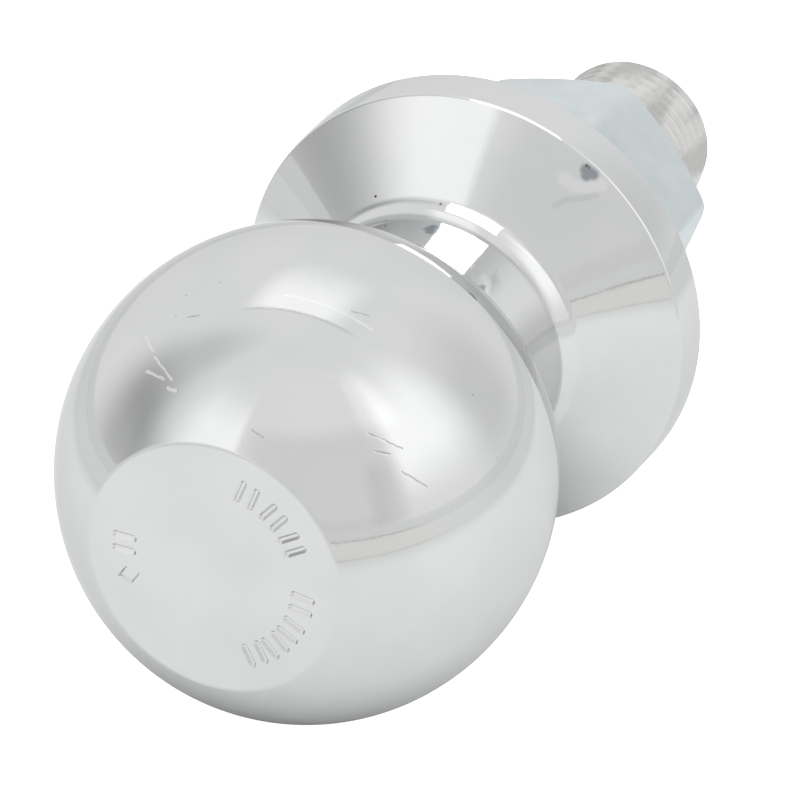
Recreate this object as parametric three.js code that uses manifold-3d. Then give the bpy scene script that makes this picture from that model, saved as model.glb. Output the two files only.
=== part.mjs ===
// A trailer hitch ball for a 3/4 in hole: a one-piece forging (ball, neck, conical flange and
// threaded shank), a split spring lock washer and a hexagon nut.
// Millimetres. The origin is the centre of the flange's flat underside, which seats on a drawbar.
// The pieces are drawn with their axis along Z, the ball at the top and the shank below. At the
// end the whole ball is laid on its side, resting on the ball and the flange's rim: its top then
// faces -Y, its shank points along +Y, and +Z is up.
import * as THREE from "three";
import { mergeVertices } from "three/addons/utils/BufferGeometryUtils.js";
import Module from "manifold-3d";

// Ball and neck, which flares out into the flange in two arcs
const BALL_RADIUS = 25.4;
const BALL_CENTRE_Z = 44.6;
const BALL_FLAT_Z = 66.15;
const BALL_FLAT_EDGE_ROUND = 0.9;
const NECK_RADIUS = 14.3;
const FLARE_RADIUS = 5;
const FLARE_TURN = THREE.MathUtils.degToRad(35);
const FLARE_HEEL_RADIUS = 1.8;
const NECK_TOP_FILLET = 1.2;

// Flange: a short, slightly tapered band with a shallow cone that climbs to the neck
const RIM_SEAT_RADIUS = 25.4;
const RIM_FRONT_RADIUS = 25.2;
const RIM_HEIGHT = 5.6;
const RIM_EDGE_ROUND = 0.5;
const CONE_SLOPE = 0.515;
const SHANK_ROOT_FILLET = 0.5;

// Shank: a plain shoulder, then a 3/4-16 thread to a chamfered end
const SHANK_RADIUS = 9.525;
const SHANK_END_Z = -45.4;
const SHANK_END_CHAMFER = 1.3;
const PLAIN_SHANK_END_Z = -7.5;
const PLAIN_SHANK_TAPER = 0.7;
const CORE_RADIUS = 8.3;
const CORE_END_Z = -9;
const THREAD_TOP_Z = -7.85;
const THREAD_TOP_RADIUS = 8.8;
const THREAD_RUNOUT_END_Z = -9.9;

// Thread form, the same helix on the shank and in the nut
const PITCH = 1.5875;
const THREAD_STEPS_PER_TURN = 24;
const SHANK_THREAD = { crestRadius: 9.49, crestWidth: 0.2, rootRadius: 8.56, rootWidth: 0.3 };
const NUT_THREAD = { crestRadius: 9.83, crestWidth: 0.71, rootRadius: 9.05, rootWidth: 0.17 };

// Stamped marks: plain bars in pairs and a diamond, sunk in the flat on top of the ball
const STAMP_DEPTH = 0.25;
const STAMP_RING_RADIUS = 9.6;
const STAMP_BAR_LENGTH = 2.6;
const STAMP_BAR_WIDTH = 0.7;
const STAMP_PAIR_ANGLES = [-63, -47, -31, -11, 28, 47, 67, 176];
const STAMP_PAIR_PITCH = 1.5;
const STAMP_DIAMOND_ANGLE = 197;
const STAMP_DIAMOND_SIZE = 1.9;

// Split spring lock washer, uncompressed
const WASHER_INNER_RADIUS = 9.85;
const WASHER_WIDTH = 5.5;
const WASHER_THICKNESS = 4.95;
const WASHER_COIL_RISE = 5.35;
const WASHER_EDGE_BREAK = 0.4;
const WASHER_TOP_Z = -0.35;
const WASHER_START_ANGLE = 250;
const WASHER_COIL_ANGLE = 350;
const WASHER_COIL_STEPS = 56;
const WASHER_END_SLANT = 12;

// Hexagon nut
const NUT_ACROSS_FLATS = 27.8;
const NUT_THICKNESS = 16.8;
const NUT_TOP_Z = -11;
const NUT_CORNER_ANGLE = 7;
const NUT_FACE_CHAMFER_RADIUS = 13.5;
const NUT_CHAMFER_SLOPE = 0.577;
const NUT_COUNTERSINK_RADIUS = 10.3;

// How finely the curves are divided
const LATHE_STEPS = 56;
const NUT_CHAMFER_STEPS = 72;
const BALL_ARC_STEPS = 20;
const FLARE_STEPS = 4;
const ROUND_STEPS = 3;

// How far a cutting tool runs past the faces that it cuts
const CUT_MARGIN = 1;

const CHROME = new THREE.MeshStandardMaterial({
  name: "chrome",
  color: 0xd6d8d8,
  roughness: 0.08,
  metalness: 1,
});
const WASHER_ZINC = new THREE.MeshStandardMaterial({
  name: "washer_zinc",
  color: 0xb4bbbd,
  roughness: 0.38,
  metalness: 1,
});
const NUT_ZINC = new THREE.MeshStandardMaterial({
  name: "nut_zinc",
  color: 0xc0cbce,
  roughness: 0.3,
  metalness: 1,
});

const wasm = await Module();
wasm.setup();

// A closed three.js geometry as a manifold-3d solid.
function solidOf(geometry) {
  const bare = geometry.clone();
  bare.deleteAttribute("normal");
  bare.deleteAttribute("uv");
  const merged = mergeVertices(bare, 1e-4);
  return new wasm.Manifold(
    new wasm.Mesh({
      numProp: 3,
      vertProperties: new Float32Array(merged.attributes.position.array),
      triVerts: new Uint32Array(merged.index.array),
    }),
  );
}

// A manifold-3d solid as a named three.js mesh.
function meshOf(name, solid, material) {
  const { vertProperties, triVerts } = solid.getMesh();
  const geometry = new THREE.BufferGeometry();
  geometry.setAttribute("position", new THREE.BufferAttribute(new Float32Array(vertProperties), 3));
  geometry.setIndex(new THREE.BufferAttribute(new Uint32Array(triVerts), 1));
  geometry.computeVertexNormals();
  const mesh = new THREE.Mesh(geometry, material);
  mesh.name = name;
  return mesh;
}

// A point of a turned profile: distance from the Z axis, then height.
const at = (radius, z) => new THREE.Vector2(radius, z);

// A solid turned about Z from a profile that runs up the outside, from axis to axis.
function turned(profile, steps) {
  return solidOf(new THREE.LatheGeometry(profile, steps).rotateX(Math.PI / 2));
}

// Points on a circle in the profile plane, both end points included.
function arc(centre, radius, fromAngle, toAngle, steps) {
  return Array.from({ length: steps + 1 }, (_, i) => {
    const angle = fromAngle + ((toAngle - fromAngle) * i) / steps;
    return at(centre.x + radius * Math.cos(angle), centre.y + radius * Math.sin(angle));
  });
}

// The corner between two straight runs of a profile, rounded to a radius.
function roundedCorner(before, corner, after, radius, steps) {
  const inward = before.clone().sub(corner).normalize();
  const outward = after.clone().sub(corner).normalize();
  const halfAngle = Math.acos(inward.dot(outward)) / 2;
  const middle = inward.clone().add(outward).normalize();
  const centre = middle.multiplyScalar(radius / Math.sin(halfAngle)).add(corner);
  const reach = radius / Math.tan(halfAngle);
  const start = inward.multiplyScalar(reach).add(corner).sub(centre).angle();
  const end = outward.multiplyScalar(reach).add(corner).sub(centre).angle();
  const turn = Math.atan2(Math.sin(end - start), Math.cos(end - start));
  return arc(centre, radius, start, start + turn, steps);
}

// The foot of the neck: a tight heel that leaves the flange's cone, then a wide sweep up the neck.
function neckFlare() {
  const coneTurn = Math.PI / 2 - Math.atan(CONE_SLOPE);
  const heelReach = FLARE_HEEL_RADIUS * (Math.cos(FLARE_TURN) - Math.cos(coneTurn));
  const heelRise = FLARE_HEEL_RADIUS * (Math.sin(coneTurn) - Math.sin(FLARE_TURN));
  const startX = NECK_RADIUS + FLARE_RADIUS * (1 - Math.cos(FLARE_TURN)) + heelReach;
  const startZ = RIM_HEIGHT + (RIM_FRONT_RADIUS - startX) * CONE_SLOPE;
  const sweepZ = startZ + heelRise + FLARE_RADIUS * Math.sin(FLARE_TURN);
  const sweepCentre = at(NECK_RADIUS + FLARE_RADIUS, sweepZ);
  const centreShift = FLARE_RADIUS - FLARE_HEEL_RADIUS;
  const heelCentre = at(
    sweepCentre.x - centreShift * Math.cos(FLARE_TURN),
    sweepCentre.y - centreShift * Math.sin(FLARE_TURN),
  );
  const join = Math.PI + FLARE_TURN;
  return [
    ...arc(heelCentre, FLARE_HEEL_RADIUS, Math.PI + coneTurn, join, FLARE_STEPS),
    ...arc(sweepCentre, FLARE_RADIUS, join, Math.PI, FLARE_STEPS).slice(1),
  ];
}

// The forging's profile, from the shank's core up over the flange, neck and ball.
function forgingProfile() {
  const plainEnd = at(SHANK_RADIUS, PLAIN_SHANK_END_Z);
  const seatCorner = at(SHANK_RADIUS, 0);
  const rimBack = at(RIM_SEAT_RADIUS, 0);
  const rimFront = at(RIM_FRONT_RADIUS, RIM_HEIGHT);
  const coneTop = at(NECK_RADIUS, RIM_HEIGHT + (RIM_FRONT_RADIUS - NECK_RADIUS) * CONE_SLOPE);

  const neckFilletX = NECK_RADIUS + NECK_TOP_FILLET;
  const neckFilletDrop = Math.sqrt((BALL_RADIUS + NECK_TOP_FILLET) ** 2 - neckFilletX ** 2);
  const neckFilletCentre = at(neckFilletX, BALL_CENTRE_Z - neckFilletDrop);
  const startAngle = -Math.atan2(neckFilletDrop, neckFilletX);

  const flatRoundZ = BALL_FLAT_Z - BALL_FLAT_EDGE_ROUND;
  const flatRoundRise = flatRoundZ - BALL_CENTRE_Z;
  const flatRoundX = Math.sqrt((BALL_RADIUS - BALL_FLAT_EDGE_ROUND) ** 2 - flatRoundRise ** 2);
  const flatRoundCentre = at(flatRoundX, flatRoundZ);
  const endAngle = Math.atan2(flatRoundRise, flatRoundX);

  const ballCentre = at(0, BALL_CENTRE_Z);
  const neckTopRound = arc(neckFilletCentre, NECK_TOP_FILLET, Math.PI, Math.PI + startAngle, ROUND_STEPS);
  const ballSide = arc(ballCentre, BALL_RADIUS, startAngle, endAngle, BALL_ARC_STEPS);
  const flatEdgeRound = arc(flatRoundCentre, BALL_FLAT_EDGE_ROUND, endAngle, Math.PI / 2, ROUND_STEPS);

  return [
    at(0, CORE_END_Z),
    at(CORE_RADIUS, CORE_END_Z),
    at(CORE_RADIUS, PLAIN_SHANK_END_Z - PLAIN_SHANK_TAPER),
    plainEnd,
    ...roundedCorner(plainEnd, seatCorner, rimBack, SHANK_ROOT_FILLET, ROUND_STEPS),
    ...roundedCorner(seatCorner, rimBack, rimFront, RIM_EDGE_ROUND, ROUND_STEPS),
    ...roundedCorner(rimBack, rimFront, coneTop, RIM_EDGE_ROUND, ROUND_STEPS),
    ...neckFlare(),
    ...neckTopRound,
    ...ballSide.slice(1),
    ...flatEdgeRound.slice(1),
    at(0, BALL_FLAT_Z),
  ];
}

// A rod whose outside is a right-hand helical thread, from below lowZ to above highZ.
function threadedRod({ crestRadius, crestWidth, rootRadius, rootWidth }, lowZ, highZ) {
  const flankWidth = (PITCH - crestWidth - rootWidth) / 2;
  const form = [
    at(crestRadius, -crestWidth / 2),
    at(crestRadius, crestWidth / 2),
    at(rootRadius, crestWidth / 2 + flankWidth),
    at(rootRadius, crestWidth / 2 + flankWidth + rootWidth),
  ];
  const firstTurn = Math.floor(lowZ / PITCH) - 1;
  const turns = Math.ceil(highZ / PITCH) + 1 - firstTurn;
  const rows = turns * form.length;
  const points = [];
  for (let column = 0; column < THREAD_STEPS_PER_TURN; column++) {
    const share = column / THREAD_STEPS_PER_TURN;
    const angle = 2 * Math.PI * share;
    for (let row = 0; row <= rows; row++) {
      const { x, y } = form[row % form.length];
      const turn = firstTurn + Math.floor(row / form.length) + share;
      points.push(x * Math.cos(angle), x * Math.sin(angle), y + turn * PITCH);
    }
  }

  // The last column meets the first one, one turn higher.
  const index = (column, row) =>
    column < THREAD_STEPS_PER_TURN ? column * (rows + 1) + row : row + form.length;
  const faces = [];
  for (let column = 0; column < THREAD_STEPS_PER_TURN; column++) {
    const lastRow = column < THREAD_STEPS_PER_TURN - 1 ? rows : rows - form.length;
    for (let row = 0; row < lastRow; row++) {
      const [low, lowNext] = [index(column, row), index(column + 1, row)];
      const [high, highNext] = [index(column, row + 1), index(column + 1, row + 1)];
      faces.push(low, lowNext, highNext, low, highNext, high);
    }
  }

  // Each stepped end is closed by a fan from a point on the axis.
  const lowRim = [];
  const highRim = [];
  for (let column = 0; column < THREAD_STEPS_PER_TURN; column++) {
    lowRim.push(index(column, 0));
    highRim.push(index(column, rows));
  }
  const lastColumn = THREAD_STEPS_PER_TURN - 1;
  for (let step = 0; step < form.length; step++) {
    lowRim.push(index(0, form.length - step));
    highRim.push(index(lastColumn, rows - 1 - step));
  }
  const lowCentre = points.length / 3;
  points.push(0, 0, (firstTurn - 1) * PITCH);
  const highCentre = points.length / 3;
  points.push(0, 0, (firstTurn + turns + 2) * PITCH);
  lowRim.forEach((vertex, i) => faces.push(lowCentre, lowRim[(i + 1) % lowRim.length], vertex));
  highRim.forEach((vertex, i) => faces.push(highCentre, vertex, highRim[(i + 1) % highRim.length]));

  const geometry = new THREE.BufferGeometry();
  geometry.setAttribute("position", new THREE.Float32BufferAttribute(points, 3));
  geometry.setIndex(faces);
  return solidOf(geometry);
}

// The threaded length of the shank, with a tapered run-out at the top and a chamfer at the end.
function shankThread() {
  const outside = SHANK_RADIUS + CUT_MARGIN;
  const envelope = turned(
    [
      at(0, SHANK_END_Z),
      at(SHANK_RADIUS - SHANK_END_CHAMFER, SHANK_END_Z),
      at(outside, SHANK_END_Z + SHANK_END_CHAMFER + CUT_MARGIN),
      at(outside, THREAD_RUNOUT_END_Z),
      at(THREAD_TOP_RADIUS, THREAD_TOP_Z),
      at(0, THREAD_TOP_Z),
    ],
    LATHE_STEPS,
  );
  return threadedRod(SHANK_THREAD, SHANK_END_Z, PLAIN_SHANK_END_Z).intersect(envelope);
}

// A prism cut down into the ball's flat, on the stamp ring at an angle in degrees, shifted sideways.
function stampTool(outline, angle, shift) {
  const shape = new THREE.Shape(outline);
  const prism = new THREE.ExtrudeGeometry(shape, { depth: CUT_MARGIN, bevelEnabled: false });
  prism.translate(STAMP_RING_RADIUS, shift, BALL_FLAT_Z - STAMP_DEPTH);
  prism.rotateZ(THREE.MathUtils.degToRad(angle));
  return solidOf(prism);
}

function hitchBall() {
  const [l, w, d] = [STAMP_BAR_LENGTH / 2, STAMP_BAR_WIDTH / 2, STAMP_DIAMOND_SIZE / 2];
  const bar = [at(-l, -w), at(l, -w), at(l, w), at(-l, w)];
  const diamond = [at(-d, 0), at(0, -d), at(d, 0), at(0, d)];
  let forging = turned(forgingProfile(), LATHE_STEPS).add(shankThread());
  for (const angle of STAMP_PAIR_ANGLES) {
    forging = forging.subtract(stampTool(bar, angle, -STAMP_PAIR_PITCH / 2));
    forging = forging.subtract(stampTool(bar, angle, STAMP_PAIR_PITCH / 2));
  }
  forging = forging.subtract(stampTool(diamond, STAMP_DIAMOND_ANGLE, 0));
  return meshOf("hitch_ball", forging, CHROME);
}

// One left-hand coil of a rectangular bar with broken edges, its two ends cut on a slant.
function lockWasher() {
  const [halfWidth, halfHeight, edge] = [WASHER_WIDTH / 2, WASHER_THICKNESS / 2, WASHER_EDGE_BREAK];
  const section = [
    at(-halfWidth + edge, -halfHeight),
    at(halfWidth - edge, -halfHeight),
    at(halfWidth, -halfHeight + edge),
    at(halfWidth, halfHeight - edge),
    at(halfWidth - edge, halfHeight),
    at(-halfWidth + edge, halfHeight),
    at(-halfWidth, halfHeight - edge),
    at(-halfWidth, -halfHeight + edge),
  ];
  const middleRadius = WASHER_INNER_RADIUS + halfWidth;
  const slantPerHeight = WASHER_END_SLANT / WASHER_THICKNESS;
  const points = [];
  for (let step = 0; step <= WASHER_COIL_STEPS; step++) {
    const share = step / WASHER_COIL_STEPS;
    const centreZ = WASHER_TOP_Z - halfHeight - WASHER_COIL_RISE * share;
    for (const { x, y } of section) {
      const degrees = WASHER_START_ANGLE + WASHER_COIL_ANGLE * share - slantPerHeight * y;
      const angle = THREE.MathUtils.degToRad(degrees);
      const radius = middleRadius + x;
      points.push(radius * Math.cos(angle), radius * Math.sin(angle), centreZ + y);
    }
  }
  const sides = section.length;
  const faces = [];
  for (let step = 0; step < WASHER_COIL_STEPS; step++) {
    for (let side = 0; side < sides; side++) {
      const near = step * sides + side;
      const nearNext = step * sides + ((side + 1) % sides);
      faces.push(near, near + sides, nearNext + sides, near, nearNext + sides, nearNext);
    }
  }
  const lastRing = WASHER_COIL_STEPS * sides;
  for (let side = 1; side < sides - 1; side++) {
    faces.push(0, side, side + 1);
    faces.push(lastRing, lastRing + side + 1, lastRing + side);
  }
  const geometry = new THREE.BufferGeometry();
  geometry.setAttribute("position", new THREE.Float32BufferAttribute(points, 3));
  geometry.setIndex(faces);
  return meshOf("lock_washer", solidOf(geometry), WASHER_ZINC);
}

// A hexagonal prism whose corners are turned off at both faces, with a threaded hole.
function hexNut() {
  const bottomZ = NUT_TOP_Z - NUT_THICKNESS;
  const cornerRadius = NUT_ACROSS_FLATS / Math.sqrt(3);
  const outline = Array.from({ length: 6 }, (_, i) => {
    const angle = THREE.MathUtils.degToRad(NUT_CORNER_ANGLE + 60 * i);
    return at(cornerRadius * Math.cos(angle), cornerRadius * Math.sin(angle));
  });
  const prism = new THREE.ExtrudeGeometry(new THREE.Shape(outline), {
    depth: NUT_THICKNESS,
    bevelEnabled: false,
  }).translate(0, 0, bottomZ);

  const outside = cornerRadius + CUT_MARGIN;
  const chamferDrop = (outside - NUT_FACE_CHAMFER_RADIUS) * NUT_CHAMFER_SLOPE;
  const chamfers = turned(
    [
      at(0, bottomZ),
      at(NUT_FACE_CHAMFER_RADIUS, bottomZ),
      at(outside, bottomZ + chamferDrop),
      at(outside, NUT_TOP_Z - chamferDrop),
      at(NUT_FACE_CHAMFER_RADIUS, NUT_TOP_Z),
      at(0, NUT_TOP_Z),
    ],
    NUT_CHAMFER_STEPS,
  );

  const mouth = NUT_COUNTERSINK_RADIUS + CUT_MARGIN;
  const mouthDepth = mouth - NUT_THREAD.rootRadius + CUT_MARGIN;
  const countersink = (faceZ, inward) => {
    const profile = [
      at(0, faceZ - inward * CUT_MARGIN),
      at(mouth, faceZ - inward * CUT_MARGIN),
      at(mouth - mouthDepth, faceZ + inward * (mouthDepth - CUT_MARGIN)),
      at(0, faceZ + inward * (mouthDepth - CUT_MARGIN)),
    ];
    return turned(inward > 0 ? profile : profile.reverse(), LATHE_STEPS);
  };

  const nut = solidOf(prism)
    .intersect(chamfers)
    .subtract(threadedRod(NUT_THREAD, bottomZ, NUT_TOP_Z))
    .subtract(countersink(bottomZ, 1))
    .subtract(countersink(NUT_TOP_Z, -1));
  return meshOf("hex_nut", nut, NUT_ZINC);
}

const uprightPieces = new THREE.Group();
uprightPieces.add(hitchBall(), lockWasher(), hexNut());
uprightPieces.rotation.x = Math.PI / 2;

const trailerHitchBall = new THREE.Group();
trailerHitchBall.name = "trailer_hitch_ball";
trailerHitchBall.add(uprightPieces);

export default trailerHitchBall;
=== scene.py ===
"""A 2 in trailer hitch ball lying on its side on a white studio table, its top to the camera."""

import math
import bmesh
import bpy
from mathutils import Matrix, Vector


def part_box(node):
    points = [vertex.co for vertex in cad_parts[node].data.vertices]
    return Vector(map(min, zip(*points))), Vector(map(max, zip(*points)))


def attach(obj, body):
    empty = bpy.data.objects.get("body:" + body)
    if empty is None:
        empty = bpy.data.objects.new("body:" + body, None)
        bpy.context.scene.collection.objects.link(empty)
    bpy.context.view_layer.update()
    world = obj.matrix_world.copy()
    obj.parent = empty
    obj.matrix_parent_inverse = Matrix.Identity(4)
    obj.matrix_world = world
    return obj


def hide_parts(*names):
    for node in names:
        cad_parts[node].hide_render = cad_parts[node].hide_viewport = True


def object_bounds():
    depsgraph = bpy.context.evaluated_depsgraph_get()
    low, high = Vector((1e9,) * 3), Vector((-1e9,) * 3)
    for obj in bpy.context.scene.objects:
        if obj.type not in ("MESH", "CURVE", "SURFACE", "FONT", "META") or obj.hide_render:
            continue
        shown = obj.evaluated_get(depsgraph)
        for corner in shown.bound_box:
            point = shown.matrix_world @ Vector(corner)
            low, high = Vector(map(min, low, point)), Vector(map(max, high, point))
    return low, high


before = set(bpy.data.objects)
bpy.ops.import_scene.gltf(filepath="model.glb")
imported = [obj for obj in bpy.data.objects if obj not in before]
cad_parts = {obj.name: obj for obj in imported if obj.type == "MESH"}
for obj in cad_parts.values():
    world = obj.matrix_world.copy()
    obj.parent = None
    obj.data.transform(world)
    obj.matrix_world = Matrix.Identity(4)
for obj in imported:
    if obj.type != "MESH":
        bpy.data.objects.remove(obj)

CAD_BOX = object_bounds()

# Lengths are in millimetres up to the moment a mesh is finished, and then in metres.
MM = 0.001

# The camera looks down at the ball's top from the front right.
CAMERA_AZIMUTH = math.radians(24.0)
CAMERA_ELEVATION = math.radians(27.5)
CAMERA_DISTANCE = 480.3
CAMERA_AIM = Vector((7.2, -37.8, 6.4))
CAMERA_LENS = 215.4
CAMERA_SENSOR = 36.0

# Ball, neck and flange, turned about the shank's axis. Heights are from the flange's seat.
SEAT_TO_TOP = -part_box("hitch_ball")[0].y / MM
SEAT_TO_SHANK_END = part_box("hitch_ball")[1].y / MM
BALL_RADIUS = 25.38
BALL_CENTRE = 44.6
FLAT_EDGE_ROUND = 0.9
NECK_RADIUS = 14.3
FLARE_RADIUS = 5.0
FLARE_TURN = math.radians(35)
FLARE_HEEL_RADIUS = 1.8
NECK_TOP_FILLET = 1.2
RIM_SEAT_RADIUS = 25.38
RIM_FRONT_RADIUS = 25.2
RIM_HEIGHT = 5.6
RIM_ROUND = 0.5
CONE_SLOPE = 0.515
SHANK_RADIUS = 9.525
SHANK_FILLET = 0.5

# Threads
PITCH = 1.5875
SHANK_CREST = 9.49
SHANK_ROOT = 8.57
PLAIN_SHANK = 7.5
RUNOUT = 2.0
END_CHAMFER = 1.3
NUT_CREST = 9.06
NUT_ROOT = 9.82

# Lock washer
WASHER_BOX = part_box("lock_washer")
WASHER_TOP = -WASHER_BOX[0].y / MM
WASHER_INNER = 9.85
WASHER_WIDTH = 5.5
WASHER_THICKNESS = 4.95
WASHER_RISE = 5.35
WASHER_START = math.radians(250)
WASHER_COIL = math.radians(350)
WASHER_SLANT = math.radians(12)
WASHER_EDGE_ROUND = 0.45
WASHER_STEPS = 150

# Hexagon nut
NUT_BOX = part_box("hex_nut")
NUT_TOP = -NUT_BOX[0].y / MM
NUT_BOTTOM = -NUT_BOX[1].y / MM
NUT_APOTHEM = 13.9
NUT_FACE_RADIUS = 13.5
NUT_CHAMFER = 0.577
NUT_SINK_RADIUS = 10.3
NUT_CORNER = math.radians(7)
NUT_CORNER_ROUND = 5.6
NUT_CORNER_STEPS = 6
NUT_SIDE_STEPS = 22
NUT_CORNER_START = 0.75
NUT_CORNER_WEAR = 0.40

# Stamped marks on the flat
STAMP_RING = 9.6
STAMP_DEPTH = 0.25
STAMP_PAIRS = [-63, -47, -31, -11, 28, 47, 67, 176]
STAMP_PAIR_GAP = 1.5
STAMP_BAR_STRAIGHT = 1.9
STAMP_BAR_WIDTH = 0.78
STAMP_TAPER = 0.26
STAMP_DIAMOND = 197
STAMP_DIAMOND_REACH = 1.3
STAMP_DIAMOND_SHAPE = 0.75

COLUMNS = 192


# ---------------------------------------------------------------- camera, light and table


def make_camera():
    back = Vector(
        (
            math.sin(CAMERA_AZIMUTH) * math.cos(CAMERA_ELEVATION),
            -math.cos(CAMERA_AZIMUTH) * math.cos(CAMERA_ELEVATION),
            math.sin(CAMERA_ELEVATION),
        )
    )
    data = bpy.data.cameras.new("camera")
    data.lens = CAMERA_LENS
    data.sensor_width = CAMERA_SENSOR
    data.clip_start = 0.01
    camera = bpy.data.objects.new("camera", data)
    camera.rotation_mode = "QUATERNION"
    camera.location = (CAMERA_AIM + back * CAMERA_DISTANCE) * MM
    camera.rotation_quaternion = (-back).to_track_quat("-Z", "Y")
    bpy.context.scene.collection.objects.link(camera)
    bpy.context.scene.camera = camera


NUMBER_OPERATIONS = ("LENGTH", "DISTANCE", "DOT_PRODUCT")


class Nodes:
    """A node tree with short calls for the nodes used here. All but add return an output socket."""

    def __init__(self, tree):
        self.tree = tree
        self.tree.nodes.clear()

    def add(self, kind, inputs=None, **settings):
        node = self.tree.nodes.new(kind)
        for name, value in settings.items():
            setattr(node, name, value)
        for name, value in (inputs or {}).items():
            self.feed(node.inputs[name], value)
        return node

    def feed(self, socket, value):
        if isinstance(value, bpy.types.NodeSocket):
            self.tree.links.new(value, socket)
        else:
            socket.default_value = value

    def math(self, operation, a, b=0.0, clamp=False):
        node = self.add("ShaderNodeMath", operation=operation, use_clamp=clamp)
        self.feed(node.inputs[0], a)
        self.feed(node.inputs[1], b)
        return node.outputs[0]

    def ramp(self, value, low, high, to_low=0.0, to_high=1.0):
        """value, eased from to_low at low to to_high at high."""
        values = {"Value": value, "From Min": low, "From Max": high}
        values.update({"To Min": to_low, "To Max": to_high})
        return self.add("ShaderNodeMapRange", values, interpolation_type="SMOOTHSTEP").outputs[0]

    def mix(self, share, a, b):
        node = self.add("ShaderNodeMix", data_type="RGBA")
        self.feed(node.inputs["Factor"], share)
        self.feed(node.inputs["A"], a)
        self.feed(node.inputs["B"], b)
        return node.outputs["Result"]

    def noise(self, vector, scale, detail=4.0, roughness=0.5):
        values = {"Vector": vector, "Scale": scale, "Detail": detail, "Roughness": roughness}
        return self.add("ShaderNodeTexNoise", values).outputs["Fac"]

    def bump(self, height, strength, distance, normal=None):
        values = {"Height": height, "Strength": strength, "Distance": distance}
        if normal is not None:
            values["Normal"] = normal
        return self.add("ShaderNodeBump", values).outputs[0]

    def stretched(self, vector, scale):
        return self.add("ShaderNodeMapping", {"Vector": vector, "Scale": scale}).outputs[0]

    def vector(self, operation, a, b=None, scale=None):
        """A vector sum. The socket is its number for LENGTH, DISTANCE and DOT_PRODUCT."""
        node = self.add("ShaderNodeVectorMath", {0: a}, operation=operation)
        if b is not None:
            self.feed(node.inputs[1], b)
        if scale is not None:
            self.feed(node.inputs["Scale"], scale)
        return node.outputs["Value" if operation in NUMBER_OPERATIONS else "Vector"]


def direction(azimuth, elevation):
    """A unit vector. Azimuth 0 is +Y and 90 is +X, in degrees."""
    a, e = math.radians(azimuth), math.radians(elevation)
    return (math.sin(a) * math.cos(e), math.cos(a) * math.cos(e), math.sin(e))


# The tent's wall and ceiling, as soft-edged boxes of direction in degrees. Each has the azimuth of
# its middle, how far from there its left edge and its right edge fade out and in, the elevations
# where its lower and its upper edge fade, and how much brighter it is than the plain tent.
TENT = 0.915
TENT_TOP = 0.905
TENT_TOP_FADE = (30, 75)
TENT_TINT = (0.995, 1.0, 1.0, 1.0)
TENT_BOXES = [
    (-150, (-19, -14), (25, 4), (0, 26), (62, 36), 0.29),
    (92, (-37, -8), (24, 12), (1, 27), (72, 38), 0.35),
    (108, (-16, -4), (16, 8), (34, 46), (74, 58), 0.13),
    (116, (-12, -3), (14, 6), (-4, 4), (32, 22), -0.08),
    (150, (-44, -28), (44, 30), (-12, -4), (49, 38), -0.11),
    (-105, (-30, -6), (32, 0), (-18, 8), (50, 14), -0.36),
    (-106, (-22, -2), (26, 4), (6, 30), (80, 50), -0.20),
    (-124, (-26, -6), (16, 2), (-16, -2), (28, 12), -0.12),
    (45, (-36, -4), (26, 6), (-10, 12), (56, 22), -0.17),
    (150, (-40, -10), (40, 10), (-3, 1), (7, 3), -0.05),
]

# A lit ceiling panel with a crisp front edge and a dark seam along it, both as seen on a plane at
# height 1: where each side fades, across in X and back in Y.
CEILING_GAIN = 0.30
CEILING_LEFT = (-0.62, -0.36)
CEILING_RIGHT = (0.21, -0.02)
CEILING_FRONT = (0.218, 0.232)
CEILING_BACK = (1.1, 0.30)
SEAM_LOSS = 0.16
SEAM_LEFT = (-0.62, -0.5)
SEAM_RIGHT = (0.30, 0.2)
SEAM_FRONT = (0.196, 0.212)
SEAM_BACK = (0.232, 0.218)
HORIZON = 0.05
DEGREES = 180 / math.pi


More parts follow.
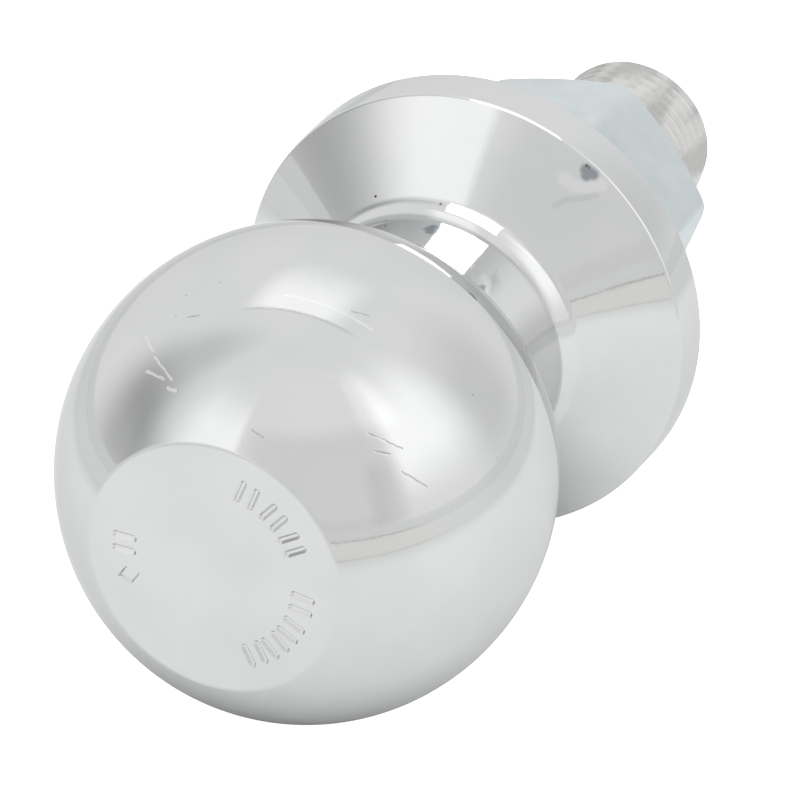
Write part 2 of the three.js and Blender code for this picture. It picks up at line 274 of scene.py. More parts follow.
def make_tent():
    """A white tent round the table, with soft light boxes and dark gaps in its wall."""
    world = bpy.data.worlds.new("white_tent")
    bpy.context.scene.world = world
    world.use_nodes = True
    n = Nodes(world.node_tree)
    towards = n.add("ShaderNodeTexCoord").outputs["Generated"]
    rise = n.add("ShaderNodeSeparateXYZ", {"Vector": towards}).outputs["Z"]
    elevation = n.math("MULTIPLY", n.math("ARCSINE", rise), DEGREES)

    def along(azimuth):
        return n.vector("DOT_PRODUCT", towards, direction(azimuth, 0))

    glow = n.ramp(elevation, *TENT_TOP_FADE, TENT, TENT_TOP)
    for middle, left, right, lower, upper, gain in TENT_BOXES:
        turn = n.math("ARCTAN2", along(middle + 90), along(middle))
        turn = n.math("MULTIPLY", turn, DEGREES)
        box = n.math("MULTIPLY", n.ramp(turn, *left), n.ramp(turn, *right))
        box = n.math("MULTIPLY", box, n.ramp(elevation, *lower))
        box = n.math("MULTIPLY", box, n.ramp(elevation, *upper))
        glow = n.math("ADD", glow, n.math("MULTIPLY", box, gain))

    split = n.add("ShaderNodeSeparateXYZ", {"Vector": towards})
    height = n.math("MAXIMUM", split.outputs["Z"], HORIZON)
    across = n.math("DIVIDE", split.outputs["X"], height)
    back = n.math("DIVIDE", split.outputs["Y"], height)

    def patch(left, right, front, rear):
        width = n.math("MULTIPLY", n.ramp(across, *left), n.ramp(across, *right))
        share = n.math("MULTIPLY", width, n.ramp(back, *front))
        return n.math("MULTIPLY", share, n.ramp(back, *rear))

    panel = patch(CEILING_LEFT, CEILING_RIGHT, CEILING_FRONT, CEILING_BACK)
    glow = n.math("ADD", glow, n.math("MULTIPLY", panel, CEILING_GAIN))
    seam = patch(SEAM_LEFT, SEAM_RIGHT, SEAM_FRONT, SEAM_BACK)
    glow = n.math("SUBTRACT", glow, n.math("MULTIPLY", seam, SEAM_LOSS))

    sky = n.add("ShaderNodeBackground", {"Color": TENT_TINT, "Strength": glow})
    output = n.add("ShaderNodeOutputWorld")
    n.feed(output.inputs["Surface"], sky.outputs[0])


# A bank of small gridded panels over the neck, in rows along Y. Each leans so that the foot of the
# neck is on its axis, and the grid keeps their light off the top of the ball.
LAMP_HEIGHT = 150.0
LAMP_LEFT = -40.5
LAMP_FRONT = -88.0
LAMP_PITCH = (7.9, 16.4)
LAMP_COLUMNS = 12
LAMP_ROWS = 6
LAMP_SPREAD = math.radians(28)
LAMP_RADIANCE = 3.0
LAMP_TARGET = Vector((4.0, -14.0, 18.0))


def make_lamps():
    width, depth = LAMP_PITCH
    # A grid lets light out only near the axis, where it is then this share of the lamp's average.
    reach = math.tan(LAMP_SPREAD / 2)
    average_share = (reach - LAMP_SPREAD / 2) / reach
    for row in range(LAMP_ROWS):
        for column in range(LAMP_COLUMNS):
            data = bpy.data.lights.new("gridded_panel", "AREA")
            data.shape = "RECTANGLE"
            x = LAMP_LEFT + (column + 0.5) * width
            place = Vector((x, LAMP_FRONT + (row + 0.5) * depth, LAMP_HEIGHT))
            back = (place - LAMP_TARGET).normalized()
            side = back.cross(Vector((1, 0, 0))).normalized()
            along = side.cross(back)
            # Wide enough to meet its neighbours, seen from the neck or from the ball.
            data.size = width * along.x * MM
            data.size_y = depth * MM
            data.spread = LAMP_SPREAD
            data.energy = LAMP_RADIANCE * math.pi * data.size * data.size_y * average_share
            lamp = bpy.data.objects.new("gridded_panel", data)
            lamp.location = place * MM
            lamp.rotation_mode = "QUATERNION"
            lamp.rotation_quaternion = Matrix((along, side, back)).transposed().to_quaternion()
            lamp.visible_camera = False
            bpy.context.scene.collection.objects.link(lamp)


# The table, in metres from the origin: a white sheet, a cream surround on the camera's side, and
# beyond it plain white. Its glow is painted light: a pool brightest on the sheet, dimmer on the
# surround and beyond, a painted shadow under the object, and to the camera a plain bright glow.
TABLE_RADIUS = 6.0
TABLE_GAP = 0.00003
TABLE_GLOW_NEAR = 0.35
TABLE_GLOW_CREAM = 0.16
TABLE_GLOW_FAR = 0.09
TABLE_GLOW_TO_CAMERA = 1.0
TABLE_GLOW_UNDER = -0.06
SHADE_MIDDLE = (-0.004, -0.022, 0.0)
SHADE_HALF_LENGTH = 0.022
SHADE_FADE = (0.004, 0.030)
SHEET_FADE_START = 0.13
SHEET_RADIUS = 0.185
SHEET_EDGE = 0.006
SHEET_SEAM_WIDTH = 0.012
SHEET_SEAM_SHARE = 0.5
CREAM_RADIUS = 0.46
CREAM_EDGE = 0.01
CREAM_FADE = 0.02
CREAM_SEAM_WIDTH = 0.11
CREAM_AZIMUTH = 140
CREAM_SPREAD = math.radians(38)
SEAM_SHARE_BEHIND = 0.2
WHITE_TONE = (0.76, 0.765, 0.765, 1.0)
CREAM_TONE = (0.77, 0.762, 0.735, 1.0)
TABLE_SEAM_TONE = (0.42, 0.42, 0.42, 1.0)
TABLE_TONE_TO_CAMERA = (0.8, 0.8, 0.8, 1.0)
TABLE_LIGHT_TO_CAMERA = (1.0, 1.0, 1.0, 1.0)


def make_table():
    """A white sheet just under the ball, its glow painted light and painted shade, on a wider table
    with a cream, seamed surround.
    """
    mesh = bpy.data.meshes.new("table")
    bm = bmesh.new()
    bmesh.ops.create_circle(bm, cap_ends=True, segments=96, radius=TABLE_RADIUS)
    bm.to_mesh(mesh)
    bm.free()
    table = bpy.data.objects.new("table", mesh)
    table.location.z = CAD_BOX[0].z - TABLE_GAP
    bpy.context.scene.collection.objects.link(table)

    material = bpy.data.materials.new("white_sheet_with_painted_light")
    material.use_nodes = True
    n = Nodes(material.node_tree)
    place = n.add("ShaderNodeTexCoord").outputs["Object"]
    reach = n.vector("LENGTH", place)
    # Painted shadow: the glow falls to TABLE_GLOW_UNDER along the line from the ball's touch to the
    # flange's, and rises to TABLE_GLOW_NEAR away from it.
    offset = n.vector("SUBTRACT", place, SHADE_MIDDLE)
    split = n.add("ShaderNodeSeparateXYZ", {"Vector": offset})
    beyond = n.math("SUBTRACT", n.math("ABSOLUTE", split.outputs["Y"]), SHADE_HALF_LENGTH)
    beyond = n.math("MAXIMUM", beyond, 0.0)
    shade = n.math("MULTIPLY", beyond, beyond)
    shade = n.math("ADD", shade, n.math("MULTIPLY", split.outputs["X"], split.outputs["X"]))
    under = n.ramp(n.math("SQRT", shade), *SHADE_FADE, TABLE_GLOW_UNDER, TABLE_GLOW_NEAR)
    # Painted pool of light: beyond the sheet the glow drops to the cream surround's level, and
    # beyond that to the far table's.
    loss = n.ramp(reach, SHEET_FADE_START, SHEET_RADIUS, 0.0, TABLE_GLOW_NEAR - TABLE_GLOW_CREAM)
    glow = n.math("SUBTRACT", under, loss)
    beyond_cream = n.ramp(reach, CREAM_RADIUS - CREAM_FADE, CREAM_RADIUS + CREAM_FADE)
    loss = n.math("MULTIPLY", beyond_cream, TABLE_GLOW_CREAM - TABLE_GLOW_FAR)
    glow = n.math("SUBTRACT", glow, loss)

    def line(radius, width):
        outside = n.ramp(reach, radius - width / 2, radius)
        return n.math("MULTIPLY", outside, n.ramp(reach, radius + width / 2, radius))

    on_cream = n.ramp(reach, SHEET_RADIUS, SHEET_RADIUS + SHEET_EDGE)
    on_cream = n.math("MULTIPLY", on_cream, n.ramp(reach, CREAM_RADIUS, CREAM_RADIUS - CREAM_EDGE))
    ahead = n.vector("DOT_PRODUCT", place, direction(CREAM_AZIMUTH, 0))
    ahead = n.math("DIVIDE", ahead, n.math("MAXIMUM", reach, MM))
    in_front = n.ramp(ahead, math.cos(CREAM_SPREAD), 1.0)
    tone = n.mix(in_front, WHITE_TONE, n.mix(on_cream, WHITE_TONE, CREAM_TONE))
    sheet_seam = n.math("MULTIPLY", line(SHEET_RADIUS, SHEET_SEAM_WIDTH), SHEET_SEAM_SHARE)
    seams = n.math("MAXIMUM", line(CREAM_RADIUS, CREAM_SEAM_WIDTH), sheet_seam)
    seam_share = n.math("MULTIPLY", in_front, 1 - SEAM_SHARE_BEHIND)
    seams = n.math("MULTIPLY", seams, n.math("ADD", seam_share, SEAM_SHARE_BEHIND))
    tone = n.mix(seams, tone, TABLE_SEAM_TONE)

    # Painted light: to the camera the table glows brighter, in one plain tone, so no shade shows on
    # it.
    to_camera = n.add("ShaderNodeLightPath").outputs["Is Camera Ray"]
    glow = n.math("ADD", glow, n.math("MULTIPLY", to_camera, TABLE_GLOW_TO_CAMERA))
    face = n.add(
        "ShaderNodeBsdfPrincipled",
        {
            "Base Color": n.mix(to_camera, tone, TABLE_TONE_TO_CAMERA),
            "Roughness": 0.55,
            "Specular IOR Level": 0.2,
            "Emission Color": n.mix(to_camera, tone, TABLE_LIGHT_TO_CAMERA),
            "Emission Strength": glow,
        },
    )
    output = n.add("ShaderNodeOutputMaterial")
    n.feed(output.inputs["Surface"], face.outputs[0])
    mesh.materials.append(material)


# ---------------------------------------------------------------- mesh tools


def arc(centre, radius, start, end, steps):
    """Points (radius, height) on a circle, angles in radians from the outward direction."""
    points = []
    for i in range(steps + 1):
        angle = start + (end - start) * i / steps
        points.append((centre[0] + radius * math.cos(angle), centre[1] + radius * math.sin(angle)))
    return points


def rounded(before, corner, after, radius, steps):
    """The corner of a profile, replaced by an arc that touches both of its sides."""
    corner = Vector(corner)
    inward = (Vector(before) - corner).normalized()
    outward = (Vector(after) - corner).normalized()
    half = inward.angle(outward) / 2
    centre = corner + (inward + outward).normalized() * radius / math.sin(half)
    reach = radius / math.tan(half)
    first = corner + inward * reach - centre
    last = corner + outward * reach - centre
    start = math.atan2(first.y, first.x)
    turn = math.atan2(last.y, last.x) - start
    turn = math.atan2(math.sin(turn), math.cos(turn))
    return arc(centre, radius, start, start + turn, steps)


class Turning:
    """A skin about the Z axis, made of rings that share their columns."""

    def __init__(self, angles):
        self.bm = bmesh.new()
        self.angles = angles

    def ring(self, radius, z):
        """One ring. radius and z are numbers, or lists with one number for each column."""
        count = len(self.angles)
        radii = radius if isinstance(radius, list) else [radius] * count
        heights = z if isinstance(z, list) else [z] * count
        return [
            self.bm.verts.new((r * math.cos(a), r * math.sin(a), h))
            for r, a, h in zip(radii, self.angles, heights)
        ]

    def skin(self, upper, lower):
        for j in range(len(self.angles)):
            k = (j + 1) % len(self.angles)
            self.bm.faces.new((upper[j], lower[j], lower[k], upper[k]))

    def turn(self, profile):
        """Rings for a whole profile, skinned in order. Returns the first and the last ring."""
        rings = [self.ring(r, z) for r, z in profile]
        for upper, lower in zip(rings, rings[1:]):
            self.skin(upper, lower)
        return rings[0], rings[-1]

    def cap(self, ring):
        self.bm.faces.new(ring)

    def thread(self, form, anchor, low, high, shape):
        """A right-hand helix of the thread form, flattened into a plain ring at low and at high.

        form lists (height in the pitch, radius), and the helix passes through the height anchor at
        angle 0. shape(radius, z) gives the final radius, the same all round at both ends.
        """
        per_turn = len(form)
        lead = [PITCH * angle / (2 * math.pi) for angle in self.angles]
        first = math.floor((low - anchor - lead[-1]) / PITCH) - 1
        last = math.ceil((high - anchor - lead[0]) / PITCH) + 1
        grid = []
        for row in range((last - first) * per_turn + 1):
            offset, radius = form[row % per_turn]
            base = anchor + PITCH * (first + row // per_turn) + offset
            line = []
            for angle, climb in zip(self.angles, lead):
                z = min(max(base + climb, low), high)
                r = shape(radius, z)
                line.append(self.bm.verts.new((r * math.cos(angle), r * math.sin(angle), z)))
            grid.append(line)
        for lower, upper in zip(grid, grid[1:]):
            for j in range(len(lead) - 1):
                self.bm.faces.new((upper[j], lower[j], lower[j + 1], upper[j + 1]))
        for row in range(len(grid) - 1 - per_turn):
            seam = (grid[row + 1][-1], grid[row][-1], grid[row + per_turn][0])
            self.bm.faces.new((*seam, grid[row + 1 + per_turn][0]))


WELD = 1e-4
FLAT_NORMAL = 0.99999


def finish_mesh(bm, name, sharp_degrees):
    """Welds the skin, marks its sharp edges, and lays it on its side in metres as a new object."""
    bmesh.ops.remove_doubles(bm, verts=bm.verts, dist=WELD)
    loose = [v for v in bm.verts if not v.link_faces]
    bmesh.ops.delete(bm, geom=loose, context="VERTS")
    bmesh.ops.recalc_face_normals(bm, faces=bm.faces)
    mark_edges(bm, sharp_degrees)
    bm.transform(Matrix.Scale(MM, 4) @ Matrix.Rotation(math.pi / 2, 4, "X"))
    mesh = bpy.data.meshes.new(name)
    bm.to_mesh(mesh)
    bm.free()
    piece = bpy.data.objects.new(name, mesh)
    bpy.context.scene.collection.objects.link(piece)
    return piece


def mark_edges(bm, sharp_degrees):
    """Smooth shading, kept off real corners and off the rim of each face square to the axis."""
    limit = math.radians(sharp_degrees)
    bm.normal_update()
    for face in bm.faces:
        face.smooth = True
    for edge in bm.edges:
        level = [abs(f.normal.z) > FLAT_NORMAL for f in edge.link_faces]
        edge.smooth = edge.calc_face_angle(0.0) < limit and not (any(level) and not all(level))


# ---------------------------------------------------------------- the pieces


def flare_profile():
    """The foot of the neck: a wide sweep outwards, then a tighter heel that runs into the cone."""
    cone_turn = math.pi / 2 - math.atan(CONE_SLOPE)
    sweep, heel = FLARE_RADIUS, FLARE_HEEL_RADIUS
    heel_reach = heel * (math.cos(FLARE_TURN) - math.cos(cone_turn))
    heel_drop = heel * (math.sin(cone_turn) - math.sin(FLARE_TURN))
    end_reach = NECK_RADIUS + sweep * (1 - math.cos(FLARE_TURN)) + heel_reach
    end_height = RIM_HEIGHT + (RIM_FRONT_RADIUS - end_reach) * CONE_SLOPE
    start_height = end_height + heel_drop + sweep * math.sin(FLARE_TURN)
    sweep_centre = Vector((NECK_RADIUS + sweep, start_height))
    towards_heel = Vector((math.cos(FLARE_TURN), math.sin(FLARE_TURN)))
    heel_centre = sweep_centre - (sweep - heel) * towards_heel
    return [
        *arc(sweep_centre, sweep, math.pi, math.pi + FLARE_TURN, 10),
        *arc(heel_centre, heel, math.pi + FLARE_TURN, math.pi + cone_turn, 8)[1:],
    ]


def forging_profile():
    """From the flat on the ball down to the end of the plain shank."""
    flat_rise = SEAT_TO_TOP - FLAT_EDGE_ROUND - BALL_CENTRE
    flat_reach = math.sqrt((BALL_RADIUS - FLAT_EDGE_ROUND) ** 2 - flat_rise**2)
    flat_angle = math.atan2(flat_rise, flat_reach)
    flat_centre = (flat_reach, BALL_CENTRE + flat_rise)

    neck_reach = NECK_RADIUS + NECK_TOP_FILLET
    neck_drop = math.sqrt((BALL_RADIUS + NECK_TOP_FILLET) ** 2 - neck_reach**2)
    neck_angle = -math.atan2(neck_drop, neck_reach)
    neck_centre = (neck_reach, BALL_CENTRE - neck_drop)

    neck_top = (NECK_RADIUS, neck_centre[1] - 0.01)
    cone_top = (NECK_RADIUS, RIM_HEIGHT + (RIM_FRONT_RADIUS - NECK_RADIUS) * CONE_SLOPE)
    rim_front = (RIM_FRONT_RADIUS, RIM_HEIGHT)
    rim_back = (RIM_SEAT_RADIUS, 0.0)
    seat = (SHANK_RADIUS, 0.0)
    plain_end = (SHANK_RADIUS, -PLAIN_SHANK + 0.05)
    return [
        *arc(flat_centre, FLAT_EDGE_ROUND, math.pi / 2, flat_angle, 8),
        *arc((0, BALL_CENTRE), BALL_RADIUS, flat_angle, neck_angle, 60)[1:],
        *arc(neck_centre, NECK_TOP_FILLET, math.pi + neck_angle, math.pi, 6)[1:],
        neck_top,
        *flare_profile(),
        *rounded(cone_top, rim_front, rim_back, RIM_ROUND, 6),
        *rounded(rim_front, rim_back, seat, RIM_ROUND, 6),
        *rounded(rim_back, seat, plain_end, SHANK_FILLET, 6),
        plain_end,
    ]


def shank_form():
    """One pitch of the rolled thread: a small rounded crest, 60 degree flanks, a rounded root."""
    crest, root = SHANK_CREST, SHANK_ROOT
    return [
        (-0.14, crest - 0.05),
        (-0.05, crest),
        (0.05, crest),
        (0.14, crest - 0.05),
        (0.60, root + 0.06),
        (0.70, root),
        (PITCH - 0.70, root),
        (PITCH - 0.60, root + 0.06),
    ]


def shank_shape(radius, z):
    """The thread cut off by the chamfer at the shank's end, and fading out under the flange."""
    chamfer = SHANK_CREST - END_CHAMFER + (z + SEAT_TO_SHANK_END)
    share = min(max((z + PLAIN_SHANK + RUNOUT) / RUNOUT, 0.0), 1.0)
    runout = SHANK_ROOT + (SHANK_CREST - SHANK_ROOT) * share
    return min(max(radius, runout), chamfer)


def stamp_cutter():
    """Every stamped mark as one mesh of tapered prisms that stand through the flat."""
    bm = bmesh.new()

    def prism(floor, mouth, angle, shift):
        turn = Matrix.Rotation(math.radians(angle), 3, "Z")
        layers = []
        for outline, rise in ((floor, -STAMP_DEPTH), (mouth, 0.0), (mouth, 1.0)):
            z = SEAT_TO_TOP + rise
            points = [turn @ Vector((STAMP_RING + x, shift + y, z)) for x, y in outline]
            layers.append([bm.verts.new(point) for point in points])
        bm.faces.new(reversed(layers[0]))
        bm.faces.new(layers[-1])
        for lower, upper in zip(layers, layers[1:]):
            for i in range(len(lower)):
                k = (i + 1) % len(lower)
                bm.faces.new((lower[i], lower[k], upper[k], upper[i]))

    def bar(width):
        return [
            *arc((STAMP_BAR_STRAIGHT / 2, 0), width / 2, -math.pi / 2, math.pi / 2, 8),
            *arc((-STAMP_BAR_STRAIGHT / 2, 0), width / 2, math.pi / 2, 3 * math.pi / 2, 8),
        ]

    def diamond(size):
        half = STAMP_DIAMOND_SHAPE * size
        return [(-size, 0), (0, -half), (size, 0), (0, half)]

    for angle in STAMP_PAIRS:
        for side in (-1, 1):
            shift = side * STAMP_PAIR_GAP / 2
            prism(bar(STAMP_BAR_WIDTH - 2 * STAMP_TAPER), bar(STAMP_BAR_WIDTH), angle, shift)
    floor = diamond(STAMP_DIAMOND_REACH - STAMP_TAPER)
    prism(floor, diamond(STAMP_DIAMOND_REACH), STAMP_DIAMOND, 0.0)
    bmesh.ops.recalc_face_normals(bm, faces=bm.faces)
    bm.transform(Matrix.Scale(MM, 4) @ Matrix.Rotation(math.pi / 2, 4, "X"))
    mesh = bpy.data.meshes.new("stamp_cutter")
    bm.to_mesh(mesh)
    bm.free()
    return bpy.data.objects.new("stamp_cutter", mesh)


def cut(piece, cutter):
    """Takes the cutter out of the piece."""
    bpy.context.scene.collection.objects.link(cutter)
    boolean = piece.modifiers.new("cut", "BOOLEAN")
    boolean.object = cutter
    boolean.operation = "DIFFERENCE"
    boolean.solver = "EXACT"
    graph = bpy.context.evaluated_depsgraph_get()
    mesh = bpy.data.meshes.new_from_object(piece.evaluated_get(graph))
    piece.modifiers.clear()
    piece.data = mesh
    bpy.data.objects.remove(cutter)


def make_forging(material):
    angles = [2 * math.pi * j / COLUMNS for j in range(COLUMNS)]
    skin = Turning(angles)
    top, plain_end = skin.turn(forging_profile())
    skin.cap(list(reversed(top)))
    skin.thread(shank_form(), 0.0, -SEAT_TO_SHANK_END, -PLAIN_SHANK, shank_shape)
    thread_top = skin.ring(SHANK_CREST, -PLAIN_SHANK)
    skin.skin(plain_end, thread_top)
    end = skin.ring(SHANK_CREST - END_CHAMFER, -SEAT_TO_SHANK_END)
    skin.cap(end)
    piece = finish_mesh(skin.bm, "forged_ball_and_shank", 40)
    cut(piece, stamp_cutter())
    piece.data.materials.clear()
    piece.data.materials.append(material)
    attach(piece, "ball")
    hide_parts("hitch_ball")
    return piece


def nut_angles():
    """Columns of the nut, closer together round each corner for its worn edge."""
    angles = []
    for side in range(6):
        corner = NUT_CORNER + side * math.pi / 3
        steps = range(-NUT_CORNER_STEPS, NUT_CORNER_STEPS + 1)
        near = [math.radians(step * NUT_CORNER_ROUND / NUT_CORNER_STEPS) for step in steps]
        start, end = near[-1], math.pi / 3 + near[0]
        between = [start + (end - start) * i / NUT_SIDE_STEPS for i in range(1, NUT_SIDE_STEPS)]
        angles += [corner + d for d in near + between]
    return angles


def nut_outline(angle):
    """Distance from the axis to the side of the hexagon, with worn, rounded corners."""
    from_flat = (angle - NUT_CORNER) % (math.pi / 3) - math.pi / 6
    radius = NUT_APOTHEM / math.cos(from_flat)
    corner = NUT_APOTHEM / math.cos(math.pi / 6)
    start = corner - NUT_CORNER_START
    share = (radius - start) / NUT_CORNER_START
    return radius if share < 0 else start + NUT_CORNER_START * (share - NUT_CORNER_WEAR * share**2)


def make_nut(material):
    skin = Turning(nut_angles())
    outline = [nut_outline(a) for a in skin.angles]
    drop = [(r - NUT_FACE_RADIUS) * NUT_CHAMFER for r in outline]

    def side_rings(face, inward):
        """From the countersink over the face and its chamfer to the hexagon's side."""
        return [
            skin.ring(NUT_SINK_RADIUS, face),
            skin.ring(NUT_FACE_RADIUS - 0.10, face),
            skin.ring(NUT_FACE_RADIUS + 0.08, face + inward * 0.05),
            skin.ring([r - 0.15 for r in outline], [face + inward * (d - 0.087) for d in drop]),
            skin.ring([r - 0.04 for r in outline], [face + inward * (d + 0.023) for d in drop]),
            skin.ring(outline, [face + inward * (d + 0.173) for d in drop]),
        ]

    top = side_rings(NUT_TOP, -1)
    bottom = side_rings(NUT_BOTTOM, 1)
    rings = top + list(reversed(bottom))
    for upper, lower in zip(rings, rings[1:]):
        skin.skin(upper, lower)

    crest, root = NUT_CREST, NUT_ROOT
    form = [
        (-0.31, root),
        (0.31, root),
        (0.36, root - 0.04),
        (0.71, crest + 0.05),
        (0.77, crest),
        (PITCH - 0.77, crest),
        (PITCH - 0.71, crest + 0.05),
        (PITCH - 0.36, root - 0.04),
    ]

    def shape(radius, z):
        edge = min(NUT_TOP - z, z - NUT_BOTTOM)
        return max(radius, NUT_SINK_RADIUS - edge)

    skin.thread(form, 0.0, NUT_BOTTOM, NUT_TOP, shape)
    piece = finish_mesh(skin.bm, "hexagon_nut", 25)
    piece.data.materials.append(material)
    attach(piece, "nut")
    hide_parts("hex_nut")
    return piece


def make_washer(material):
    """One left-hand coil of rounded square bar, its two ends cut on a slant."""
    half_width, half_height, corner = WASHER_WIDTH / 2, WASHER_THICKNESS / 2, WASHER_EDGE_ROUND
    section = []
    for quarter, (sx, sy) in enumerate(((1, 1), (-1, 1), (-1, -1), (1, -1))):
        centre = (sx * (half_width - corner), sy * (half_height - corner))
        section += arc(centre, corner, quarter * math.pi / 2, (quarter + 1) * math.pi / 2, 4)
    middle = WASHER_INNER + half_width
    bm = bmesh.new()
    loops = []
    for step in range(WASHER_STEPS + 1):
        share = step / WASHER_STEPS
        centre_z = WASHER_TOP - half_height - WASHER_RISE * share
        loop = []
        for x, y in section:
            angle = WASHER_START + WASHER_COIL * share - WASHER_SLANT * y / WASHER_THICKNESS
            r = middle + x
            loop.append(bm.verts.new((r * math.cos(angle), r * math.sin(angle), centre_z + y)))
        loops.append(loop)
    for here, there in zip(loops, loops[1:]):
        for i in range(len(section)):
            k = (i + 1) % len(section)
            bm.faces.new((here[i], there[i], there[k], here[k]))
    bm.faces.new(loops[0])
    bm.faces.new(reversed(loops[-1]))
    piece = finish_mesh(bm, "split_lock_washer", 40)
    piece.data.materials.append(material)
    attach(piece, "washer")
    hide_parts("lock_washer")
    return piece


# ---------------------------------------------------------------- materials


def new_material(name):
    material = bpy.data.materials.new(name)
    material.use_nodes = True
    return material, Nodes(material.node_tree)


def on_skin(angle, radius, height):
    """A point on the forging, in metres. angle is round the shank's axis, height from the seat."""
    turn = math.radians(angle)
    return Vector((radius * math.cos(turn), -height, radius * math.sin(turn))) * MM


def on_cone(angle, radius):
    return on_skin(angle, radius, RIM_HEIGHT + (RIM_FRONT_RADIUS - radius) * CONE_SLOPE)


def on_ball(angle, height):
    reach = math.sqrt(BALL_RADIUS**2 - (height - BALL_CENTRE) ** 2)
    return on_skin(angle, reach, height)


# Handling marks and painted reflections on the ball, as (angle, height) points: bright scuffs, dark
# ticks that are painted reflections of seams round the object, and pin holes.
SCUFFS = [
    ((120.5, 57.4), (117, 59.2)),
    ((116, 59.8), (109, 62.1)),
    ((118.5, 60.9), (112, 61.9)),
    ((110, 62.7), (107, 63.0)),
]
DARK_TICKS = [
    ((47, 60.0), (38, 58.6)),
    ((42, 60.5), (39, 59.7)),
    ((33, 59.6), (26, 58.4)),
    ((76, 64.6), (71, 64.7)),
    ((70, 51.7), (66, 51.1)),
    ((108, 56.5), (105, 56.4)),
]
PIN_HOLES = [(112, 56.2), (103, 52.4), (111, 53.7), (37, 49.1), (22, 50.1)]

# Dark and grey spots on the flange and the neck, as (angle, radius, height, size). On the neck and
# the flare they are painted reflections; at the flange's dent they are spots of dark colour.
DARK_SPOTS = [
    (54.8, 24.75, 6.0, 0.30),
    (54.0, 24.7, 6.0, 0.26),
    (90.5, 15.1, 10.9, 0.3),
    (119, 16.3, 10.2, 0.2),
]
GREY_SPOTS = [
    (54.2, 24.35, 6.05, 0.9),
    (53.0, 24.35, 6.05, 1.0),
    (52.2, 24.45, 6.0, 0.85),
    (53.2, 24.0, 6.2, 0.9),
    (86.6, 14.3, 14.8, 1.0),
    (86.2, 14.3, 15.6, 1.05),
    (87.4, 14.3, 15.3, 1.0),
]

# Round the flange's dent, as (angle, radius) points: a painted highlight along its lip and a
# painted shade along a crease below it.
LIP = [(49, 24.3), (51, 23.2), (54, 22.5), (57, 22.4)]
CREASE = [(54, 19.9), (53, 21.0), (50, 22.1), (48, 23.3)]
DENT = (51.5, 22.9)

# Sizes of the marks, in metres
SCUFF_WIDTH = 0.00022
DARK_TICK_WIDTH = 0.00013
PIN_HOLE_RADIUS = 0.00016
LIP_WIDTH = 0.0010
CREASE_WIDTH = 0.0005
DENT_RADIUS = 0.0032
DENT_DEPTH = 0.00022
MARK_JITTER = 0.0003


# How much of a mark's width or radius is its full-strength middle.
LINE_CORE = 0.3
SPOT_CORE = 0.35


def line_marks(n, place, lines, width):
    """1 along each line, given by its two ends, fading to 0 at width metres from it."""
    total = 0.0
    for a, b in lines:
        run = b - a
        from_a = n.vector("SUBTRACT", place, a)
        share = n.vector("DOT_PRODUCT", from_a, run / run.length_squared)
        share = n.math("ADD", share, 0.0, clamp=True)
        gap = n.vector("DISTANCE", from_a, n.vector("SCALE", run, scale=share))
        total = n.math("MAXIMUM", total, n.ramp(gap, width, width * LINE_CORE))
    return total


def spot_marks(n, place, spots):
    """1 inside each spot (centre, radius in metres), with a soft edge."""
    total = 0.0
    for centre, radius in spots:
        gap = n.vector("DISTANCE", place, centre)
        total = n.math("MAXIMUM", total, n.ramp(gap, radius, radius * SPOT_CORE))
    return total


# Reflected tones of the forging's skin, dull first where there are two.
CHROME_TONES = (0.715, 0.72, 0.72, 1), (0.745, 0.745, 0.745, 1)
THREAD_TONES = (0.54, 0.54, 0.53, 1), (0.77, 0.765, 0.75, 1)
SHANK_END_TONE = (0.68, 0.675, 0.66, 1)
# The tone of the dark ticks on the ball, which are painted reflections, and of its pin holes.
DARK_TICK_AND_PIN_HOLE_TONE = (0.30, 0.31, 0.31, 1)
# The tone of the bright scuffs, also a painted highlight along the dent's lip.
SCUFF_AND_HIGHLIGHT_TONE = (0.93, 0.93, 0.92, 1)
# Painted shade along the crease below the dent.
CREASE_SHADE_TONE = (0.50, 0.50, 0.50, 1)
# Tones of the grey and dark spots; on the neck and the flare they are painted reflections.
GREY_SPOT_TONE = (0.27, 0.30, 0.33, 1)
DARK_SPOT_TONE = (0.05, 0.05, 0.05, 1)

# Where the worn tone of the thread and the even tone of the shank's end begin, in metres along Y.
THREAD_START = (0.006, 0.010)
SHANK_END_START = (0.0449, 0.0452)


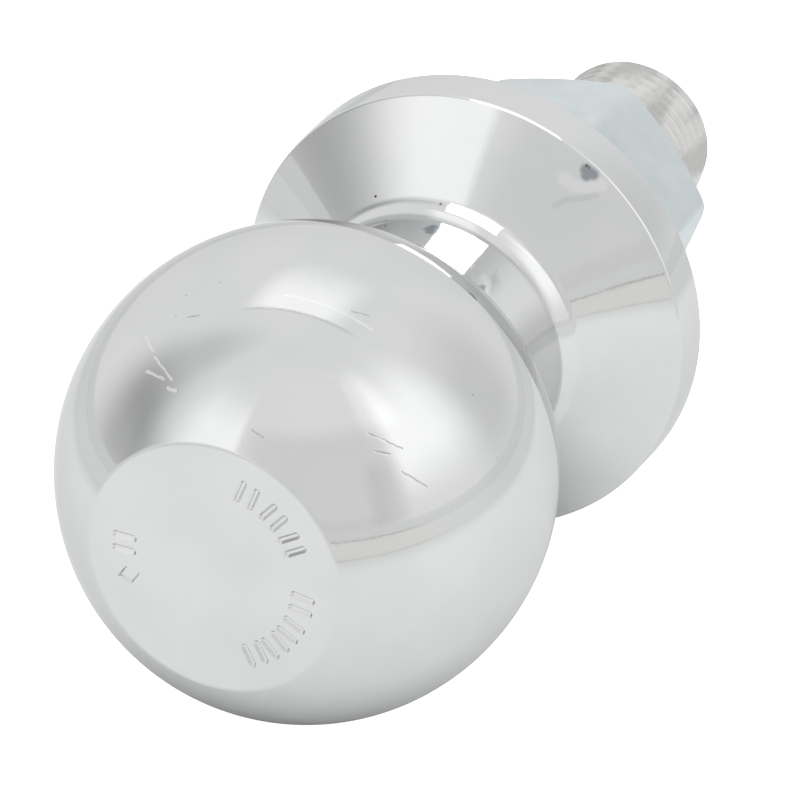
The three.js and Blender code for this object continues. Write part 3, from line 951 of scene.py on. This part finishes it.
def chrome():
    """Bright chrome over polished steel: faint waviness, hairlines, scuffs, a dent and dark spots,
    with painted reflections and a painted highlight and shade.
    """
    material, n = new_material("bright_chrome")
    place = n.add("ShaderNodeTexCoord").outputs["Object"]
    jitter = n.add("ShaderNodeTexNoise", {"Vector": place, "Scale": 1400, "Detail": 3})
    jitter = n.vector("SUBTRACT", jitter.outputs["Color"], (0.5, 0.5, 0.5))
    rough_place = n.vector("ADD", place, n.vector("SCALE", jitter, scale=MARK_JITTER))

    scuffs = [(on_ball(*start), on_ball(*end)) for start, end in SCUFFS]
    scuffs = line_marks(n, rough_place, scuffs, SCUFF_WIDTH)
    # The dark ticks are painted reflections; the bump below also cuts a fine line along each.
    dark_ticks = [(on_ball(*start), on_ball(*end)) for start, end in DARK_TICKS]
    dark_ticks = line_marks(n, rough_place, dark_ticks, DARK_TICK_WIDTH)
    # Painted highlight along the dent's lip, and painted shade along the crease below it.
    lip_highlight = [on_cone(*point) for point in LIP]
    lip_highlight = line_marks(n, place, zip(lip_highlight, lip_highlight[1:]), LIP_WIDTH)
    crease_shade = [on_cone(*point) for point in CREASE]
    crease_shade = line_marks(n, place, zip(crease_shade, crease_shade[1:]), CREASE_WIDTH)
    holes = spot_marks(n, rough_place, [(on_ball(*hole), PIN_HOLE_RADIUS) for hole in PIN_HOLES])
    # Dark and grey spots: painted reflections on the neck and the flare, plain dark colour at the
    # flange's dent.
    dark_spots = spot_marks(n, rough_place, [(on_skin(*flaw[:3]), flaw[3] * MM) for flaw in DARK_SPOTS])
    grey_spots = spot_marks(n, rough_place, [(on_skin(*flaw[:3]), flaw[3] * MM) for flaw in GREY_SPOTS])

    cloud = n.noise(place, 90, 3)
    tone = n.mix(n.ramp(cloud, 0.35, 0.65), *CHROME_TONES)
    split = n.add("ShaderNodeSeparateXYZ", {"Vector": place})
    on_thread = n.ramp(split.outputs["Y"], *THREAD_START)
    patch = n.ramp(n.noise(n.stretched(place, (260, 60, 260)), 1.0, 3), 0.38, 0.62)
    worn = n.mix(patch, *THREAD_TONES)
    on_end = n.ramp(split.outputs["Y"], *SHANK_END_START, 0.0, 0.8)
    worn = n.mix(on_end, worn, SHANK_END_TONE)
    tone = n.mix(on_thread, tone, worn)
    # Painted reflections: the dark ticks on the ball take this darker tone, and so do the pin
    # holes.
    tone = n.mix(n.math("MULTIPLY", n.math("MAXIMUM", dark_ticks, holes), 0.5), tone, DARK_TICK_AND_PIN_HOLE_TONE)
    # Painted highlight: the dent's lip takes part of the bright scuff tone.
    bright = n.math("MAXIMUM", n.math("MULTIPLY", scuffs, 0.7), n.math("MULTIPLY", lip_highlight, 0.36))
    tone = n.mix(bright, tone, SCUFF_AND_HIGHLIGHT_TONE)
    # Painted shade along the crease below the dent.
    tone = n.mix(n.math("MULTIPLY", crease_shade, 0.3), tone, CREASE_SHADE_TONE)
    # The grey and dark spots darken the chrome; on the neck and the flare this is a painted
    # reflection.
    tone = n.mix(n.math("MULTIPLY", grey_spots, 0.85), tone, GREY_SPOT_TONE)
    tone = n.mix(dark_spots, tone, DARK_SPOT_TONE)

    hair = n.noise(n.stretched(place, (2400, 130, 2400)), 1.0, 2)
    hair = n.ramp(hair, 0.66, 0.72)
    cross = n.noise(n.stretched(place, (150, 2200, 800)), 1.0, 2)
    hair = n.math("MAXIMUM", hair, n.ramp(cross, 0.66, 0.72))

    rough = n.ramp(n.noise(place, 260, 5, 0.6), 0.3, 0.7, 0.035, 0.065)
    rough = n.math("ADD", rough, n.math("MULTIPLY", hair, 0.04))
    rough = n.math("ADD", rough, n.math("MULTIPLY", on_thread, 0.26))
    rough = n.math("ADD", rough, n.math("MULTIPLY", scuffs, 0.35))
    rough = n.math("ADD", rough, n.math("MULTIPLY", n.math("MAXIMUM", dark_spots, grey_spots), 0.10))

    wave = n.noise(place, 45, 2)
    fine = n.noise(place, 1800, 3)
    dent = n.ramp(n.vector("DISTANCE", place, on_cone(*DENT)), 0.0, DENT_RADIUS)
    normal = n.bump(wave, 0.10, 0.0004)
    normal = n.bump(fine, 0.02, 0.0001, normal)
    normal = n.bump(dent, 1.0, DENT_DEPTH, normal)
    cuts = n.math("ADD", n.math("MULTIPLY", hair, 0.04), n.math("ADD", dark_ticks, scuffs))
    normal = n.bump(n.math("SUBTRACT", 1.0, cuts), 0.30, 0.00006, normal)

    metal = n.add(
        "ShaderNodeBsdfPrincipled",
        {
            "Base Color": tone,
            "Metallic": 1.0,
            "Roughness": rough,
            "Specular Tint": (0.85, 0.85, 0.85, 1.0),
            "Normal": normal,
        },
    )
    output = n.add("ShaderNodeOutputMaterial")
    n.feed(output.inputs["Surface"], metal.outputs[0])
    return material


# Zinc tones, light and dark
WASHER_TONES = (0.60, 0.63, 0.64, 1), (0.48, 0.51, 0.52, 1)
NUT_TONES = (0.70, 0.755, 0.765, 1), (0.64, 0.695, 0.71, 1)


def zinc(name, light, dark, rough_low, rough_high):
    """Satin zinc plate: cloudy tone, fine grain and a little drawn-in direction."""
    material, n = new_material(name)
    place = n.add("ShaderNodeTexCoord").outputs["Object"]
    cloud = n.ramp(n.noise(place, 160, 5, 0.6), 0.3, 0.7)
    tone = n.mix(cloud, dark, light)
    grain = n.noise(n.stretched(place, (2600, 500, 2600)), 1.0, 4, 0.6)
    rough = n.ramp(grain, 0.25, 0.75, rough_low, rough_high)
    normal = n.bump(grain, 0.015, 0.00004)
    normal = n.bump(n.noise(place, 240, 2), 0.10, 0.00012, normal)
    metal = n.add(
        "ShaderNodeBsdfPrincipled",
        {"Base Color": tone, "Metallic": 1.0, "Roughness": rough, "Normal": normal},
    )
    output = n.add("ShaderNodeOutputMaterial")
    n.feed(output.inputs["Surface"], metal.outputs[0])
    return material


# ---------------------------------------------------------------- the scene

make_camera()
make_tent()
make_lamps()
make_table()
bpy.context.scene.view_settings.view_transform = "Standard"

make_forging(chrome())
make_washer(zinc("washer_zinc_plate", *WASHER_TONES, 0.30, 0.48))
make_nut(zinc("nut_zinc_plate", *NUT_TONES, 0.28, 0.34))
